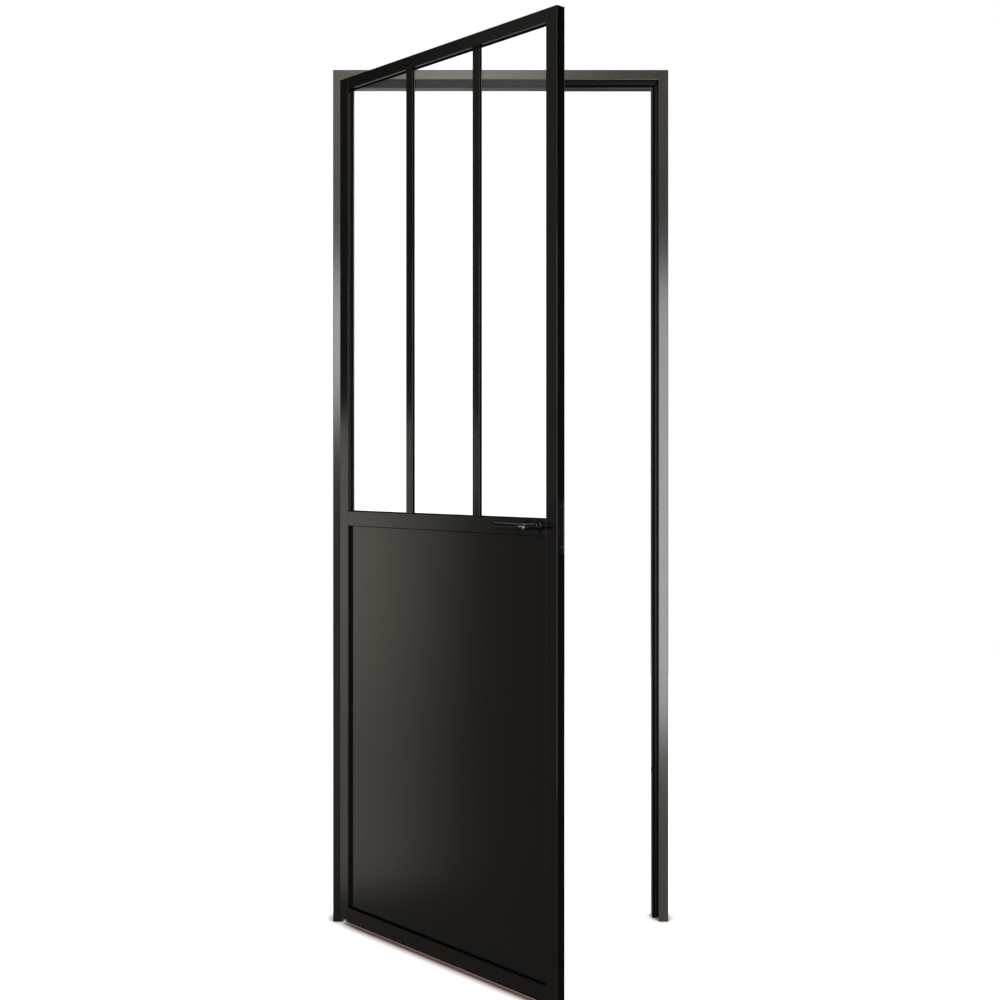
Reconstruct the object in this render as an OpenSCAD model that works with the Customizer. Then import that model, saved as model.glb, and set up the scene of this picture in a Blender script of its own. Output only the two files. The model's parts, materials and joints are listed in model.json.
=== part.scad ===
// Glazed industrial interior door: a black metal door set with three tall panes over a solid lower panel.
// X runs to the right and Y away from the viewer, and Z is up. The origin is on the wall face of the
// hinge jamb, at its foot and at half its depth. The leaf stands ajar, opened towards -Y.

/* [Frame] */
// Overall width of the frame
frame_w = 815; // [700:1:1000]
// Overall height of the frame
frame_h = 2070; // [1900:1:2400]
// Depth of the frame, front to back
frame_d = 60; // [56:1:100]
// Width of the face of the jambs and head
face_w = 24; // [22:1:40]
// Depth of the rebate that the leaf closes into
rebate_d = 30; // [28:1:34]
// How far the door stop stands in from the face
stop_w = 13; // [11:1:20]
// Wall thickness of the frame's hollow section
frame_wall = 2; // [1.5:0.1:3]
// Radius of the frame's long edges
frame_edge_r = 1.2; // [0.8:0.1:1.4]
// How far the seals stand out of the stop
seal_proud = 3; // [2:0.5:3]
// Width of a seal's foot
seal_w = 6; // [5:1:9]
// Distance of the seals from the stop's inner edge
seal_inset = 1.3; // [1.2:0.1:2]
// Radius of the wall fixing holes
fixing_r = 3.5; // [2.5:0.5:5]
// Distance of the hinge jamb's first and last fixing hole from the frame's ends
fixing_inset = 300; // [150:10:380]
// How much higher the strike jamb's fixing holes are than the hinge jamb's
strike_fixing_rise = 60; // [20:10:100]

/* [Leaf] */
// Thickness of the leaf
leaf_t = 22; // [20:0.5:24]
// Gap between the hinge jamb and the leaf
hinge_gap = 6.5; // [6.5:0.1:8]
// Gap between the leaf and the strike jamb
lock_gap = 5.5; // [5.5:0.1:8]
// Gap between the leaf and the head
top_gap = 5; // [5:0.5:8]
// Gap between the leaf and the floor
floor_gap = 14.5; // [8:0.5:25]
// Width of the stiles
stile_w = 32.5; // [28:0.5:50]
// Height of the top rail
top_rail_h = 28; // [26:1:60]
// Height of the mid rail
mid_rail_h = 34; // [32:1:60]
// Height of the bottom rail
bottom_rail_h = 31; // [28:1:90]
// Height of the middle of the mid rail above the floor
mid_rail_z = 981.5; // [850:0.5:1100]
// Wall thickness of the leaf's hollow sections
leaf_wall = 1.8; // [1.5:0.1:2.5]
// Thickness of the lip in front of the glass
lip_t = 12; // [9:0.5:12]
// Width of the lip, which the glass seats behind
lip_w = 10; // [8:0.5:10]
// Opening angle of the leaf as it stands
open_angle = 48; // [10:1:90]

/* [Glazing] */
// Thickness of the glass
glass_t = 4; // [3:0.5:5]
// Play between the glass or panel and the rebate around it
glazing_play = 2; // [1:0.5:3]
// Width of the outer glazing bars
bar_w = 23; // [14:1:30]
// Distance between the middles of the two glazing bars
bar_pitch = 234; // [200:1:260]
// How far the outer glazing bars stand off the glass
bar_t = 4; // [2:0.5:6]
// Width of the inner glazing bars
inner_bar_w = 14; // [10:1:20]
// How far the inner glazing bars stand off the glass
inner_bar_t = 2.5; // [2:0.5:4]
// Thickness of the lower panel's sheet
panel_t = 3; // [2:0.5:3]
// How far the lower panel's face lies behind the leaf's face
panel_set_back = 8; // [6:0.5:8.5]
// Gap between the lower panel's raised face and the lips around it
panel_play = 1; // [0.5:0.5:2]

/* [Hinges] */
// Distance of the hinge axis from the face's inner edge, into the jamb
axis_in = 14.5; // [14:0.1:15]
// Distance of the hinge axis behind the frame's face
axis_back = 6.5; // [6.3:0.1:6.6]
// Radius of the hinge pin
pin_r = 2.5; // [2:0.1:2.6]
// Radial play of the hinge pin in its eye
pin_play = 0.05; // [0.02:0.01:0.08]
// Wall of the eye around the pin
eye_wall = 1.4; // [1.2:0.1:1.5]
// Height of a hinge's swan neck
arm_h = 36; // [24:1:60]
// Radial width of the swan neck's bow
bow_w = 4; // [3:0.1:4.2]
// Height of the lower hinge's middle above the floor
lower_hinge_z = 240; // [150:5:400]
// Height of the middle hinge's middle above the floor
middle_hinge_z = 1090; // [1050:5:1200]
// Distance of the upper hinge's middle below the frame's top
upper_hinge_drop = 240; // [150:5:400]

/* [Handle] */
// Distance of the handle's axis from the leaf's lock edge
backset = 59; // [50:1:70]
// How far the handle's axis is above the middle of the mid rail
handle_rise = 2; // [0:0.5:4]
// Diameter of the roses' base
rose_d = 28; // [26:1:30]
// Thickness of the roses
rose_t = 9; // [6:0.5:12]
// Diameter of the lever's round bar
lever_d = 14; // [12:1:17]
// Distance of the lever's middle from the leaf's face
lever_out = 45; // [40:1:60]
// Length of the lever from the handle's axis to its tip
lever_l = 84; // [80:1:130]
// Radius of the lever's bend, at its middle
bend_r = 14; // [11:0.5:18]
// Side of the square spindle
spindle_w = 7; // [6:1:8]
// Height of the latch and strike plates
plate_h = 110; // [90:1:160]
// Width of the latch and strike plates
plate_w = 16; // [14:0.5:18]
// Thickness of the latch and strike plates
plate_t = 2; // [1.5:0.5:3]

/* [Hidden] */
$fn = 48;

front_y = -frame_d / 2;
back_y = frame_d / 2;
stop_y = front_y + rebate_d;
section_w = face_w + stop_w;

// The leaf is drawn closed, with u along its width from the hinge edge, n behind its front face, z up.
leaf_w = frame_w - 2 * face_w - hinge_gap - lock_gap;
leaf_x = face_w + hinge_gap;
leaf_z0 = floor_gap;
leaf_z1 = frame_h - face_w - top_gap;
leaf_h = leaf_z1 - leaf_z0;
axis_x = face_w - axis_in;
axis_y = front_y + axis_back;

mid_z0 = mid_rail_z - mid_rail_h / 2;
mid_z1 = mid_rail_z + mid_rail_h / 2;
glass_z0 = mid_z1;
glass_z1 = leaf_z1 - top_rail_h;
panel_z0 = leaf_z0 + bottom_rail_h;
panel_z1 = mid_z0;
bead_t = leaf_t - lip_t - glass_t;
panel_bead_t = leaf_t - lip_t - panel_t;
bead_edge = 1;
light_w = leaf_w - 2 * stile_w;

hinge_heights = [lower_hinge_z, middle_hinge_z, frame_h - upper_hinge_drop];
eye_r = pin_r + pin_play + eye_wall;
reach = axis_in + hinge_gap;
arris_r = sqrt(axis_in * axis_in + axis_back * axis_back);
bow_in = arris_r + 1;
bow_out = bow_in + bow_w;
neck_w = 2.5;
arm_play = 0.3;
cup_t = 3;
cup_plate = 2;
slot_h = arm_h + 4;
slot_y0 = front_y + frame_wall;
slot_y1 = stop_y - 2;

cup_back = 6;
cup_depth = 20;
foot_n = 6;
foot_w = 7;

plug_h = 12;
plug_play = 0.2;
fit_play = 0.2;
seal_foot_t = 1;
seal_x = section_w - seal_inset - seal_w;

handle_u = leaf_w - backset;
handle_z = mid_rail_z + handle_rise;
strike_y = front_y + leaf_t / 2;
bolt_h = 30;
bolt_t = 9;
bolt_l = 14;
bolt_play = 1;
spindle_hole_r = 6;
neck_play = 0.06;
neck_gap = 0.4;
lever_edge = 2;
rose_edge = 0.8;
collar_w = 2.5;

// Turns what is drawn with the leaf closed about the hinge axis, to where the leaf stands
module leaf_turn() {
    translate([axis_x, axis_y, 0])
        rotate([0, 0, -open_angle])
            translate([-axis_x, -axis_y, 0])
                children();
}

module leaf_place() leaf_turn() translate([leaf_x, front_y, 0]) children();

module rounded_square(size, r) {
    translate([r, 0]) square([size[0] - 2 * r, size[1]]);
    translate([0, r]) square([size[0], size[1] - 2 * r]);
    for (x = [r, size[0] - r], y = [r, size[1] - r])
        translate([x, y]) circle(r = r);
}

// The frame's hollow section, seen from above: the face at the front and the stop at the back
module frame_section() {
    difference() {
        union() {
            rounded_square([face_w, frame_d], frame_edge_r);
            translate([0, rebate_d])
                rounded_square([section_w, frame_d - rebate_d], frame_edge_r);
        }
        translate([frame_wall, frame_wall])
            square([face_w - 2 * frame_wall, frame_d - 2 * frame_wall]);
        translate([frame_wall, rebate_d + frame_wall])
            square([section_w - 2 * frame_wall, frame_d - rebate_d - 2 * frame_wall]);
    }
}

// A jamb standing at the left of the frame, mitred at its top
module jamb_blank() {
    difference() {
        translate([0, front_y, 0]) linear_extrude(frame_h) frame_section();
        translate([0, front_y - 1, frame_h])
            rotate([0, 45, 0])
                cube([2 * section_w, frame_d + 2, 2 * section_w]);
    }
}

// The wall fixing holes through a jamb's stop, along X
module fixing_holes(rise) {
    for (z = [fixing_inset, frame_h / 2, frame_h - fixing_inset])
        translate([-1, (stop_y + back_y) / 2, z + rise])
            rotate([0, 90, 0]) cylinder(h = section_w + 2, r = fixing_r);
}

module hinge_jamb() color("#1b1a1a") difference() {
    jamb_blank();
    fixing_holes(0);
    for (z = hinge_heights)
        translate([face_w - frame_wall - 1, slot_y0, z - slot_h / 2])
            cube([frame_wall + 2, slot_y1 - slot_y0, slot_h]);
}

module strike_jamb() color("#1b1a1a") difference() {
    translate([frame_w, 0, 0]) mirror([1, 0, 0]) difference() {
        jamb_blank();
        fixing_holes(strike_fixing_rise);
    }
    translate([frame_w - face_w - 1, strike_y - plate_w / 2, handle_z - plate_h / 2])
        cube([frame_wall + 2, plate_w, plate_h]);
}

module head() color("#1b1a1a") difference() {
    translate([0, front_y, frame_h])
        rotate([0, 90, 0]) linear_extrude(frame_w) frame_section();
    for (x = [0, frame_w])
        translate([x, front_y - 1, frame_h])
            rotate([0, 135, 0])
                cube([2 * section_w, frame_d + 2, 2 * section_w]);
}

// A plug that closes the foot of a jamb's hollow section
module foot_plug() {
    translate([0, front_y, 0]) linear_extrude(plug_h) {
        translate([frame_wall + plug_play, frame_wall + plug_play])
            square([face_w - 2 * frame_wall - 2 * plug_play, frame_d - 2 * frame_wall - 2 * plug_play]);
        translate([frame_wall + plug_play, rebate_d + frame_wall + plug_play])
            square([
                section_w - 2 * frame_wall - 2 * plug_play,
                frame_d - rebate_d - 2 * frame_wall - 2 * plug_play
            ]);
    }
}

module hinge_foot_plug() color("#202020") foot_plug();

module strike_foot_plug() color("#202020")
    translate([frame_w, 0, 0]) mirror([1, 0, 0]) foot_plug();

// A seal's section: a flat foot on the stop with a rounded bulb towards the leaf
module seal_section() {
    bulb_h = seal_proud - seal_foot_t;
    bulb_r = (seal_w * seal_w / 4 + bulb_h * bulb_h) / (2 * bulb_h);
    translate([0, -seal_foot_t]) square([seal_w, seal_foot_t]);
    intersection() {
        translate([0, -seal_proud]) square([seal_w, seal_proud]);
        translate([seal_w / 2, bulb_r - seal_proud]) circle(r = bulb_r, $fn = 96);
    }
}

module upright_seal() {
    translate([seal_x, stop_y, 0]) linear_extrude(frame_h - seal_x) seal_section();
}

module hinge_seal() color("#101010") upright_seal();

module strike_seal() color("#101010")
    translate([frame_w, 0, 0]) mirror([1, 0, 0]) upright_seal();

module head_seal() color("#101010")
    translate([seal_x + seal_w, stop_y, frame_h - seal_x])
        rotate([0, 90, 0])
            linear_extrude(frame_w - 2 * (seal_x + seal_w)) seal_section();

module strike_plate() color("#3a3a3c") difference() {
    translate([frame_w - face_w, strike_y - plate_w / 2 + fit_play, handle_z - plate_h / 2 + fit_play])
        cube([plate_t, plate_w - 2 * fit_play, plate_h - 2 * fit_play]);
    translate([frame_w - face_w - 1, strike_y - bolt_t / 2 - bolt_play, handle_z - bolt_h / 2 - bolt_play])
        cube([plate_t + 2, bolt_t + 2 * bolt_play, bolt_h + 2 * bolt_play]);
}

// The bracket inside the hinge jamb that holds a hinge's pin between two ears
module hinge_cup(z) {
    ear_z = arm_h / 2 + arm_play;
    color("#4a4a4c") translate([0, 0, z]) {
        translate([frame_wall, slot_y0, -ear_z - cup_t])
            cube([cup_plate, cup_depth, 2 * (ear_z + cup_t)]);
        for (side = [0, 1])
            mirror([0, 0, side])
                translate([frame_wall, slot_y0, ear_z])
                    cube([face_w - 2 * frame_wall - cup_back, cup_depth, cup_t]);
        translate([axis_x, axis_y, -ear_z - cup_t])
            cylinder(h = 2 * (ear_z + cup_t), r = pin_r);
    }
}

module hinge_cup_lower() hinge_cup(hinge_heights[0]);
module hinge_cup_middle() hinge_cup(hinge_heights[1]);
module hinge_cup_upper() hinge_cup(hinge_heights[2]);

// A swan neck's outline about its pin: it goes round behind the jamb's edge to the leaf
module arm_outline() {
    difference() {
        union() {
            circle(r = eye_r);
            intersection() {
                circle(r = bow_out, $fn = 96);
                translate([-eye_r, 0]) square([eye_r + neck_w, bow_out]);
            }
            intersection() {
                difference() {
                    circle(r = bow_out, $fn = 96);
                    circle(r = bow_in, $fn = 96);
                }
                translate([0, foot_n]) square([bow_out, bow_out]);
            }
            translate([sqrt(bow_in * bow_in - foot_n * foot_n), foot_n])
                square([reach - sqrt(bow_in * bow_in - foot_n * foot_n), foot_w]);
        }
        circle(r = pin_r + pin_play);
    }
}

module hinge_arm(z) color("#4a4a4c") leaf_turn()
    translate([axis_x, axis_y, z - arm_h / 2]) linear_extrude(arm_h) arm_outline();

module hinge_arm_lower() hinge_arm(hinge_heights[0]);
module hinge_arm_middle() hinge_arm(hinge_heights[1]);
module hinge_arm_upper() hinge_arm(hinge_heights[2]);

// A stile: the full width at the front, narrower behind the glazing lip, and hollow up to its top
module stile() {
    difference() {
        linear_extrude(leaf_h) {
            square([stile_w, lip_t]);
            square([stile_w - lip_w, leaf_t]);
        }
        translate([0, 0, -1]) linear_extrude(leaf_h + 1 - leaf_wall) {
            translate([leaf_wall, leaf_wall])
                square([stile_w - 2 * leaf_wall, lip_t - 2 * leaf_wall]);
            translate([leaf_wall, leaf_wall])
                square([stile_w - lip_w - 2 * leaf_wall, leaf_t - 2 * leaf_wall]);
        }
    }
}

module hinge_stile() color("#1b1a1a") leaf_place()
    translate([0, 0, leaf_z0]) stile();

module lock_stile() color("#1b1a1a") leaf_place() difference() {
    translate([leaf_w, 0, leaf_z0]) mirror([1, 0, 0]) stile();
    translate([leaf_w - plate_t, leaf_t / 2 - plate_w / 2, handle_z - plate_h / 2])
        cube([plate_t + 1, plate_w, plate_h]);
    translate([leaf_w - leaf_wall - 1, leaf_t / 2 - bolt_t / 2 - bolt_play, handle_z - bolt_h / 2 - bolt_play])
        cube([leaf_wall + 2, bolt_t + 2 * bolt_play, bolt_h + 2 * bolt_play]);
}

// A rail between the stiles: its outer edge at z = 0 and its glazing lip above it
module rail(height) {
    front_len = leaf_w - 2 * stile_w;
    back_len = leaf_w - 2 * (stile_w - lip_w);
    difference() {
        union() {
            translate([stile_w, 0, 0]) cube([front_len, lip_t, height]);
            translate([stile_w - lip_w, lip_t, 0])
                cube([back_len, leaf_t - lip_t, height - lip_w]);
        }
        translate([stile_w - lip_w - 1, leaf_wall, leaf_wall]) {
            cube([back_len + 2, lip_t - 2 * leaf_wall, height - 2 * leaf_wall]);
            cube([back_len + 2, leaf_t - 2 * leaf_wall, height - lip_w - 2 * leaf_wall]);
        }
    }
}

module top_rail() color("#1b1a1a") leaf_place()
    translate([0, 0, leaf_z1]) mirror([0, 0, 1]) rail(top_rail_h);

module bottom_rail() color("#1b1a1a") leaf_place()
    translate([0, 0, leaf_z0]) rail(bottom_rail_h);

module mid_rail() color("#1b1a1a") leaf_place() difference() {
    union() {
        translate([stile_w, 0, mid_z0]) cube([light_w, lip_t, mid_rail_h]);
        translate([stile_w - lip_w, lip_t, mid_z0 + lip_w])
            cube([light_w + 2 * lip_w, leaf_t - lip_t, mid_rail_h - 2 * lip_w]);
    }
    translate([stile_w - lip_w - 1, leaf_wall, mid_z0 + leaf_wall])
        cube([light_w + 2 * lip_w + 2, lip_t - 2 * leaf_wall, mid_rail_h - 2 * leaf_wall]);
    translate([stile_w - lip_w - 1, leaf_wall, mid_z0 + lip_w + leaf_wall])
        cube([
            light_w + 2 * lip_w + 2,
            leaf_t - 2 * leaf_wall,
            mid_rail_h - 2 * lip_w - 2 * leaf_wall
        ]);
    translate([handle_u, -1, handle_z])
        rotate([-90, 0, 0]) cylinder(h = leaf_t + 2, r = spindle_hole_r);
}

module glass() color("#dfe6e4", 0.35) leaf_place()
    translate([stile_w - lip_w + glazing_play, lip_t, glass_z0 - lip_w + glazing_play])
        cube([
            light_w + 2 * (lip_w - glazing_play),
            glass_t,
            glass_z1 - glass_z0 + 2 * (lip_w - glazing_play)
        ]);

// A glazing bar on the glass; side is -1 for the one nearer the hinges and 1 for the other
module glazing_bar(side, width, n, thick) {
    middle = leaf_w / 2 + side * bar_pitch / 2;
    color("#1b1a1a") leaf_place()
        translate([middle - width / 2, n, glass_z0])
            cube([width, thick, glass_z1 - glass_z0]);
}

module outer_bar_left() glazing_bar(-1, bar_w, lip_t - bar_t, bar_t);
module outer_bar_right() glazing_bar(1, bar_w, lip_t - bar_t, bar_t);
module inner_bar_left() glazing_bar(-1, inner_bar_w, lip_t + glass_t, inner_bar_t);
module inner_bar_right() glazing_bar(1, inner_bar_w, lip_t + glass_t, inner_bar_t);

// A bead standing along Z with mitred ends: its outer edge at x = 0 and its back towards +Y
module bead(len, thick) {
    difference() {
        linear_extrude(len) polygon([
            [0, 0], [lip_w, 0], [lip_w, thick - bead_edge], [lip_w - bead_edge, thick], [0, thick]
        ]);
        for (z = [0, len])
            translate([0, -1, z]) rotate([0, 45, 0])
                cube([2 * lip_w, thick + 2, 2 * lip_w]);
    }
}

module upright_bead(z0, z1, n, thick) {
    translate([stile_w - lip_w, n, z0 - lip_w]) bead(z1 - z0 + 2 * lip_w, thick);
}

module level_bead(z, n, thick) {
    translate([stile_w - lip_w, n, z]) rotate([0, 90, 0]) bead(light_w + 2 * lip_w, thick);
}

module other_side() translate([leaf_w, 0, 0]) mirror([1, 0, 0]) children();

module upside_down(z) translate([0, 0, 2 * z]) mirror([0, 0, 1]) children();

module glass_bead_hinge() color("#1b1a1a") leaf_place()
    upright_bead(glass_z0, glass_z1, lip_t + glass_t, bead_t);
module glass_bead_lock() color("#1b1a1a") leaf_place() other_side()
    upright_bead(glass_z0, glass_z1, lip_t + glass_t, bead_t);
module glass_bead_top() color("#1b1a1a") leaf_place()
    level_bead(glass_z1 + lip_w, lip_t + glass_t, bead_t);
module glass_bead_bottom() color("#1b1a1a") leaf_place() upside_down(glass_z0)
    level_bead(glass_z0 + lip_w, lip_t + glass_t, bead_t);

// A block in the lower panel's opening, from n0 to n1, with its sides that far in from the lips
module panel_block(inset, n0, n1) {
    translate([stile_w + inset, n0, panel_z0 + inset])
        cube([light_w - 2 * inset, n1 - n0, panel_z1 - panel_z0 - 2 * inset]);
}

// A pressed sheet: its rim lies behind the lips and its face stands forward between them
module lower_panel() color("#1b1a1a") leaf_place() difference() {
    union() {
        panel_block(glazing_play - lip_w, lip_t, lip_t + panel_t);
        panel_block(panel_play, panel_set_back, lip_t + panel_t);
    }
    panel_block(panel_play + panel_t, panel_set_back + panel_t, leaf_t);
}

module panel_bead_hinge() color("#1b1a1a") leaf_place()
    upright_bead(panel_z0, panel_z1, lip_t + panel_t, panel_bead_t);
module panel_bead_lock() color("#1b1a1a") leaf_place() other_side()
    upright_bead(panel_z0, panel_z1, lip_t + panel_t, panel_bead_t);
module panel_bead_top() color("#1b1a1a") leaf_place()
    level_bead(panel_z1 + lip_w, lip_t + panel_t, panel_bead_t);
module panel_bead_bottom() color("#1b1a1a") leaf_place() upside_down(panel_z0)
    level_bead(panel_z0 + lip_w, lip_t + panel_t, panel_bead_t);

module latch_plate() color("#3a3a3c") leaf_place() difference() {
    translate([leaf_w - plate_t, leaf_t / 2 - plate_w / 2 + fit_play, handle_z - plate_h / 2 + fit_play])
        cube([plate_t, plate_w - 2 * fit_play, plate_h - 2 * fit_play]);
    translate([leaf_w - plate_t - 1, leaf_t / 2 - bolt_t / 2 - fit_play, handle_z - bolt_h / 2 - fit_play])
        cube([plate_t + 2, bolt_t + 2 * fit_play, bolt_h + 2 * fit_play]);
}

module latch_bolt() color("#6a6a6c") leaf_place()
    translate([leaf_w - bolt_l, leaf_t / 2 - bolt_t / 2, handle_z - bolt_h / 2])
        cube([bolt_l, bolt_t, bolt_h]);

// Places a handle's parts at the handle's axis, with Z along it out of the leaf's face
module handle_place() leaf_place()
    translate([handle_u, 0, handle_z]) rotate([90, 0, 0]) children();

// The same on the leaf's other face
module inner_handle_place() leaf_place()
    translate([handle_u, leaf_t, handle_z]) mirror([0, 1, 0]) rotate([90, 0, 0]) children();

// A rose with a flat base and a narrower collar around the lever's neck
module rose() {
    base_t = rose_t / 3;
    collar_r = lever_d / 2 + collar_w;
    rotate_extrude($fn = 96) difference() {
        polygon([
            [0, 0], [rose_d / 2, 0], [rose_d / 2, base_t - rose_edge],
            [rose_d / 2 - rose_edge, base_t], [collar_r, base_t],
            [collar_r, rose_t - rose_edge], [collar_r - rose_edge, rose_t], [0, rose_t]
        ]);
        translate([-1, -1]) square([lever_d / 2 + neck_play + 1, rose_t + 2]);
    }
}

module rose_outside() color("#161616") handle_place() rose();
module rose_inside() color("#161616") inner_handle_place() rose();

// A lever with its neck along Z and its bar towards -X
module lever() {
    r = lever_d / 2;
    translate([0, 0, neck_gap]) cylinder(h = lever_out - bend_r - neck_gap, r = r);
    translate([-bend_r, 0, lever_out - bend_r])
        rotate([90, 0, 0]) rotate_extrude(angle = 90) translate([bend_r, 0]) circle(r = r);
    translate([-bend_r, 0, lever_out]) rotate([0, -90, 0]) rotate_extrude() {
        square([r - lever_edge, lever_l - bend_r]);
        square([r, lever_l - bend_r - lever_edge]);
        translate([r - lever_edge, lever_l - bend_r - lever_edge])
            intersection() {
                circle(r = lever_edge, $fn = 32);
                square(lever_edge);
            }
    }
}

module lever_outside() color("#161616") handle_place() lever();
module lever_inside() color("#161616") inner_handle_place() lever();

module spindle() color("#6a6a6c") handle_place()
    translate([-spindle_w / 2, -spindle_w / 2, -leaf_t - neck_gap])
        cube([spindle_w, spindle_w, leaf_t + 2 * neck_gap]);

hinge_jamb();
strike_jamb();
head();
hinge_foot_plug();
strike_foot_plug();
hinge_seal();
strike_seal();
head_seal();
strike_plate();
hinge_cup_lower();
hinge_cup_middle();
hinge_cup_upper();
hinge_arm_lower();
hinge_arm_middle();
hinge_arm_upper();
hinge_stile();
lock_stile();
top_rail();
mid_rail();
bottom_rail();
glass();
outer_bar_left();
outer_bar_right();
inner_bar_left();
inner_bar_right();
glass_bead_top();
glass_bead_bottom();
glass_bead_hinge();
glass_bead_lock();
lower_panel();
panel_bead_top();
panel_bead_bottom();
panel_bead_hinge();
panel_bead_lock();
latch_plate();
latch_bolt();
rose_outside();
rose_inside();
lever_outside();
lever_inside();
spindle();
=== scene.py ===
# %% [markdown]
# A black steel door set of the workshop kind: a slim frame, and a leaf with three tall panes over
# a sheet panel, standing ajar. The exact solids come packed, with their joints, and this lesson
# gives them their finishes and adds what is too small or too soft for them: gaskets, seals,
# screws, caps and a strike box. The solids are never moved, so every added piece is placed from
# their own measured boxes.

import json
import math

import bmesh
import bpy
from mathutils import Matrix, Vector


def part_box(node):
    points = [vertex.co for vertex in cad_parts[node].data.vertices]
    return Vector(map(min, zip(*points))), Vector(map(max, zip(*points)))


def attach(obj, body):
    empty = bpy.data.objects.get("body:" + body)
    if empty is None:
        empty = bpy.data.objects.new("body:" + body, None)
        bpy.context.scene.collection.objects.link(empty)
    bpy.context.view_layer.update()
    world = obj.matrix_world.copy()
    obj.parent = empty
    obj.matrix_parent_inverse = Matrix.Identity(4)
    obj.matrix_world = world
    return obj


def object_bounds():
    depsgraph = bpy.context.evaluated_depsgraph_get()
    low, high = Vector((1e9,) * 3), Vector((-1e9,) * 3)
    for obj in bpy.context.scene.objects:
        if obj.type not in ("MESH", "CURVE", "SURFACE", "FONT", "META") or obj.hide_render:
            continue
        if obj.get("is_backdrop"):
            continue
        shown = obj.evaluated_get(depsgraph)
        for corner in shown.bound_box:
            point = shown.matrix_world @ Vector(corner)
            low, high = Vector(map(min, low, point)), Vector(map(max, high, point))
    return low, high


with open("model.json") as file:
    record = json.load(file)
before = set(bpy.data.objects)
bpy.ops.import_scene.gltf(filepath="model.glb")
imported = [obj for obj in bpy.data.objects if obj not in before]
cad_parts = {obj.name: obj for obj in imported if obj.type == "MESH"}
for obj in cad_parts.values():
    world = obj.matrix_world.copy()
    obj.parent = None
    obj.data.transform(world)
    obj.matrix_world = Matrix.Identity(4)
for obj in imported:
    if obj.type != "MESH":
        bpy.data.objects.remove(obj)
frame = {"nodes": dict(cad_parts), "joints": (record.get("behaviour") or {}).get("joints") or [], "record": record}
cad_low, cad_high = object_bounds()
MM = 0.001
print("box, mm:", [round(v / MM, 1) for v in (*cad_low, *cad_high)])

# %% [markdown]
# The leaf stands turned about its hinge pins, so its edges run askew to the axes. The pieces on
# it are easier to draw on a closed leaf and then to turn to where it stands. The swing joint says
# both where the pins are and how far it is from here to closed, so nothing is measured by hand.

# %% Turn between the closed leaf and the standing one
swing = next(j for j in frame["joints"] if j["name"] == "leaf_swing")
pin = Vector(swing["pos_m"])
closed_deg, _ = swing["range_deg"]
opening = Matrix.Rotation(math.radians(-closed_deg), 4, Vector(swing["axis"]))
LEAF = Matrix.Translation(pin) @ opening @ Matrix.Translation(-pin)
STANDING = Matrix.Identity(4)


def closed_box(node):
    """Lowest and highest corner of a leaf node, with the leaf closed."""
    back = LEAF.inverted()
    corners = [back @ v.co for v in frame["nodes"][node].data.vertices]
    return (Vector(min(c[i] for c in corners) for i in range(3)),
            Vector(max(c[i] for c in corners) for i in range(3)))


leaf_low, _ = closed_box("hinge_stile")
_, leaf_high = closed_box("lock_stile")
print("leaf opened by", -closed_deg, "degrees")
print("leaf, mm:", [round(v / MM, 1) for v in leaf_high - leaf_low])

# %% [markdown]
# The camera stands level and looks square at the frame, because the jambs' edges stay upright and
# the head stays level in the picture. Only its lens and place were solved, from the corners of the
# frame and the leaf. The picture's vanishing point isn't at its middle, and a small lens shift
# gives that without tilting the camera.

# %% Place the camera
PHOTO_SIDE_PX = 1000
FOCAL_PX = 1409.6
VANISHING_X_PX, VANISHING_Y_PX = 507.2, 465.0
EYE = Vector((0.4233, -3.4556, 1.1097))
SENSOR_MM = 36

lens = bpy.data.cameras.new("photo_camera")
lens.sensor_width = SENSOR_MM
lens.lens = FOCAL_PX / PHOTO_SIDE_PX * SENSOR_MM
lens.shift_x = 0.5 - VANISHING_X_PX / PHOTO_SIDE_PX
lens.shift_y = VANISHING_Y_PX / PHOTO_SIDE_PX - 0.5
camera = bpy.data.objects.new("photo_camera", lens)
camera.location = EYE
camera.rotation_euler = (math.radians(90), 0, 0)
bpy.context.scene.collection.objects.link(camera)
bpy.context.scene.camera = camera
bpy.context.scene.view_settings.view_transform = "Standard"
print("lens, mm:", round(lens.lens, 2), "shift:", round(lens.shift_x, 4), round(lens.shift_y, 4))

# %% [markdown]
# Every finish below is a small tree of nodes. One function turns a colour as it is seen on a
# screen into the linear numbers that light works in, and one adds a node with its settings and
# its links. A noise is easier to judge by the length of its waves than by its scale, so one more
# function turns a length into the scale.

# %% Helpers for colours and nodes
def linear(hex_colour):
    """A screen colour such as '#1b1a19' as linear red, green, blue and full alpha."""
    parts = [int(hex_colour[i:i + 2], 16) / 255 for i in (1, 3, 5)]
    return [p / 12.92 if p <= 0.04045 else ((p + 0.055) / 1.055) ** 2.4 for p in parts] + [1.0]


def add(tree, kind, settings=None, **inputs):
    """Adds a node; an input is a value or a socket to link, by its name or by its place: _0."""
    node = tree.nodes.new("ShaderNode" + kind)
    for name, value in (settings or {}).items():
        setattr(node, name, value)
    for name, value in inputs.items():
        key = int(name[1:]) if name[1:].isdigit() else name.replace("_", " ")
        if isinstance(value, bpy.types.NodeSocket):
            tree.links.new(value, node.inputs[key])
        else:
            node.inputs[key].default_value = value
    return node


def new_material(name):
    """An empty material and its tree."""
    material = bpy.data.materials.new(name)
    material.use_nodes = True
    material.node_tree.nodes.clear()
    return material, material.node_tree


def per_metre(size_mm):
    """The scale of a noise whose waves are about size_mm long."""
    return 1 / (size_mm * MM)


print("near black in linear light:", [round(v, 4) for v in linear("#1b1a19")])

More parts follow.
